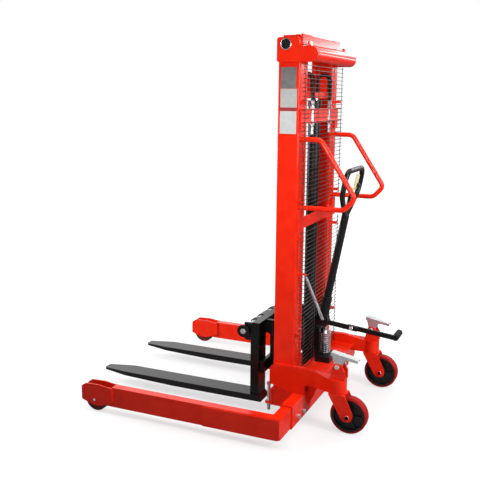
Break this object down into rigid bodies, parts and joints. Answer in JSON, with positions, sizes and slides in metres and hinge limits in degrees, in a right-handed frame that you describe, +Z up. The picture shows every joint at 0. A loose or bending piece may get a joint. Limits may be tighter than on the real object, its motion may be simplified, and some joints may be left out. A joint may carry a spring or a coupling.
{
  "type": "hand pallet stacker with straddle legs",
  "caption": "Red hand-operated pallet stacker with a two-stage mast, black forks, spread straddle legs, mesh guard, side handles and a pump tiller.",
  "frame": {"origin": "bottom centre of the whole stacker's bounding box, on the floor", "axes": "+X to the operator's left, +Y to the rear where the operator stands, +Z up; the forks point along -Y"},
  "size_m": [1.2732, 1.586, 1.858],
  "materials": {
    "red_paint": "bright red powder coat, semi gloss",
    "black_paint": "black powder coat, satin",
    "black_grip": "black coated tube, satin",
    "mesh_wire": "thin dark coated wire",
    "zinc_plate": "bright zinc plate",
    "spring_steel": "drawn spring wire",
    "oiled_steel": "dark oiled steel",
    "hard_chrome": "polished hard chrome",
    "pad_rubber": "ribbed black rubber",
    "wheel_tread": "cast polyurethane tread, dark red",
    "wheel_core": "dark painted casting",
    "load_wheel_tread": "cast polyurethane, dark red",
    "lever_plastic": "pale moulded plastic"
  },
  "bodies": {
    "chassis": {"outer_channels": "red_paint", "head_cheeks": "red_paint", "head_beam": "red_paint", "upper_crossbar": "red_paint", "middle_crossbar": "red_paint", "chain_anchors": "zinc_plate", "lift_cylinder": "black_paint", "mesh_guard": "mesh_wire", "mesh_clips": "red_paint", "leg_socket": "red_paint", "mast_foot": "red_paint", "pump_deck": "red_paint", "frame_bolts": "zinc_plate", "pump_block": "black_paint", "pump_spring": "spring_steel", "tiller_spring": "spring_steel", "base_side_left": "red_paint", "base_side_right": "red_paint", "side_handle_left": "red_paint", "side_handle_right": "red_paint", "brake_bracket_left": "red_paint", "brake_bracket_right": "red_paint"},
    "inner_mast": {"inner_channels": "red_paint", "crosshead": "red_paint", "inner_top_bar": "red_paint", "inner_foot_bar": "red_paint", "lift_ram": "hard_chrome", "chain_rear": "oiled_steel", "chain_front": "oiled_steel"},
    "carriage": {"carriage_top_bar": "black_paint", "carriage_lower_bar": "black_paint", "carriage_plates": "black_paint", "fork_shaft": "zinc_plate"},
    "chain_pulleys": {"chain_pulleys": "oiled_steel"},
    "head_rollers": {"head_rollers": "oiled_steel"},
    "mast_rollers": {"mast_rollers": "oiled_steel"},
    "carriage_rollers_lower": {"carriage_rollers_lower": "oiled_steel"},
    "carriage_rollers_upper": {"carriage_rollers_upper": "oiled_steel"},
    "pump_plunger": {"pump_plunger": "hard_chrome"},
    "tiller": {"rocker": "black_paint", "tiller_tube": "black_paint", "tiller_grip": "black_grip", "pedal_bar": "black_paint", "pedal_pad": "pad_rubber"},
    "release_lever": {"release_lever": "lever_plastic"},
    "fork_left": {"fork_left": "black_paint"},
    "leg_left": {"leg_left": "red_paint"},
    "load_wheel_left": {"load_wheel_left": "load_wheel_tread"},
    "castor_left": {"castor_yoke_left": "red_paint"},
    "castor_wheel_left": {"castor_core_left": "wheel_core", "castor_tread_left": "wheel_tread"},
    "brake_left": {"brake_pedal_left": "zinc_plate"},
    "fork_right": {"fork_right": "black_paint"},
    "leg_right": {"leg_right": "red_paint"},
    "load_wheel_right": {"load_wheel_right": "load_wheel_tread"},
    "castor_right": {"castor_yoke_right": "red_paint"},
    "castor_wheel_right": {"castor_core_right": "wheel_core", "castor_tread_right": "wheel_tread"},
    "brake_right": {"brake_pedal_right": "zinc_plate"}
  },
  "joints": [
    {"name": "mast_lift", "type": "slide", "parent": "chassis", "child": "inner_mast", "axis": [0, 0, 1], "range_m": [0, 1.21], "deforming": ["chain_rear"]},
    {"name": "carriage_lift", "type": "slide", "parent": "inner_mast", "child": "carriage", "axis": [0, 0, 1], "range_m": [0, 1.21], "deforming": ["chain_front"]},
    {"name": "chain_pulleys_spin", "type": "hinge", "parent": "inner_mast", "child": "chain_pulleys", "pos_m": [0, 0.325, 1.656], "axis": [1, 0, 0], "continuous": true},
    {"name": "head_rollers_spin", "type": "hinge", "parent": "chassis", "child": "head_rollers", "pos_m": [0, 0.2825, 1.812], "axis": [1, 0, 0], "continuous": true},
    {"name": "mast_rollers_spin", "type": "hinge", "parent": "inner_mast", "child": "mast_rollers", "pos_m": [0, 0.293, 0.24], "axis": [1, 0, 0], "continuous": true},
    {"name": "carriage_rollers_lower_spin", "type": "hinge", "parent": "carriage", "child": "carriage_rollers_lower", "pos_m": [0, 0.293, 0.242], "axis": [1, 0, 0], "continuous": true},
    {"name": "carriage_rollers_upper_spin", "type": "hinge", "parent": "carriage", "child": "carriage_rollers_upper", "pos_m": [0, 0.293, 0.416], "axis": [1, 0, 0], "continuous": true},
    {"name": "fork_left_spread", "type": "slide", "parent": "carriage", "child": "fork_left", "axis": [1, 0, 0], "range_m": [-0.115, 0]},
    {"name": "leg_left_spread", "type": "slide", "parent": "chassis", "child": "leg_left", "axis": [1, 0, 0], "range_m": [-0.09, 0.1]},
    {"name": "load_wheel_left_spin", "type": "hinge", "parent": "leg_left", "child": "load_wheel_left", "pos_m": [0.6046, -0.595, 0.0625], "axis": [1, 0, 0], "continuous": true},
    {"name": "castor_left_swivel", "type": "hinge", "parent": "chassis", "child": "castor_left", "pos_m": [0.32, 0.586, 0.194], "axis": [0, 0, 1], "continuous": true},
    {"name": "castor_wheel_left_spin", "type": "hinge", "parent": "castor_left", "child": "castor_wheel_left", "pos_m": [0.32, 0.644, 0.09], "axis": [1, 0, 0], "continuous": true},
    {"name": "brake_left_press", "type": "hinge", "parent": "chassis", "child": "brake_left", "pos_m": [0.32, 0.584, 0.327], "axis": [1, 0, 0], "range_deg": [0, 14]},
    {"name": "fork_right_spread", "type": "slide", "parent": "carriage", "child": "fork_right", "axis": [-1, 0, 0], "range_m": [-0.115, 0]},
    {"name": "leg_right_spread", "type": "slide", "parent": "chassis", "child": "leg_right", "axis": [-1, 0, 0], "range_m": [-0.09, 0.1]},
    {"name": "load_wheel_right_spin", "type": "hinge", "parent": "leg_right", "child": "load_wheel_right", "pos_m": [-0.6046, -0.595, 0.0625], "axis": [1, 0, 0], "continuous": true},
    {"name": "castor_right_swivel", "type": "hinge", "parent": "chassis", "child": "castor_right", "pos_m": [-0.32, 0.586, 0.194], "axis": [0, 0, 1], "continuous": true},
    {"name": "castor_wheel_right_spin", "type": "hinge", "parent": "castor_right", "child": "castor_wheel_right", "pos_m": [-0.32, 0.644, 0.09], "axis": [1, 0, 0], "continuous": true},
    {"name": "brake_right_press", "type": "hinge", "parent": "chassis", "child": "brake_right", "pos_m": [-0.32, 0.584, 0.327], "axis": [1, 0, 0], "range_deg": [0, 14]},
    {"name": "tiller_pump", "type": "hinge", "parent": "chassis", "child": "tiller", "pos_m": [0, 0.383, 0.404], "axis": [-1, 0, 0], "range_deg": [0, 40], "stiffness_Nm_per_rad": 40, "springref_deg": -51.57, "deforming": ["tiller_spring"]},
    {"name": "plunger_stroke", "type": "slide", "parent": "chassis", "child": "pump_plunger", "axis": [0, 0, -1], "range_m": [0, 0.024], "deforming": ["pump_spring"]},
    {"name": "release_lever_tilt", "type": "hinge", "parent": "tiller", "child": "release_lever", "pos_m": [0, 0.52157, 1.11195], "axis": [1, 0, 0], "range_deg": [-20, 20], "stiffness_Nm_per_rad": 0.8}
  ],
  "couplings": [
    {"joint": "carriage_lift", "follows": "mast_lift", "ratio": 1},
    {"joint": "chain_pulleys_spin", "follows": "mast_lift", "rad_per_m": -30.303},
    {"joint": "head_rollers_spin", "follows": "mast_lift", "rad_per_m": 32.258},
    {"joint": "mast_rollers_spin", "follows": "mast_lift", "rad_per_m": -23.981},
    {"joint": "carriage_rollers_lower_spin", "follows": "mast_lift", "rad_per_m": -23.981},
    {"joint": "carriage_rollers_upper_spin", "follows": "mast_lift", "rad_per_m": 23.981},
    {"joint": "plunger_stroke", "follows": "tiller_pump", "m_per_rad": 0.0334}
  ]
}
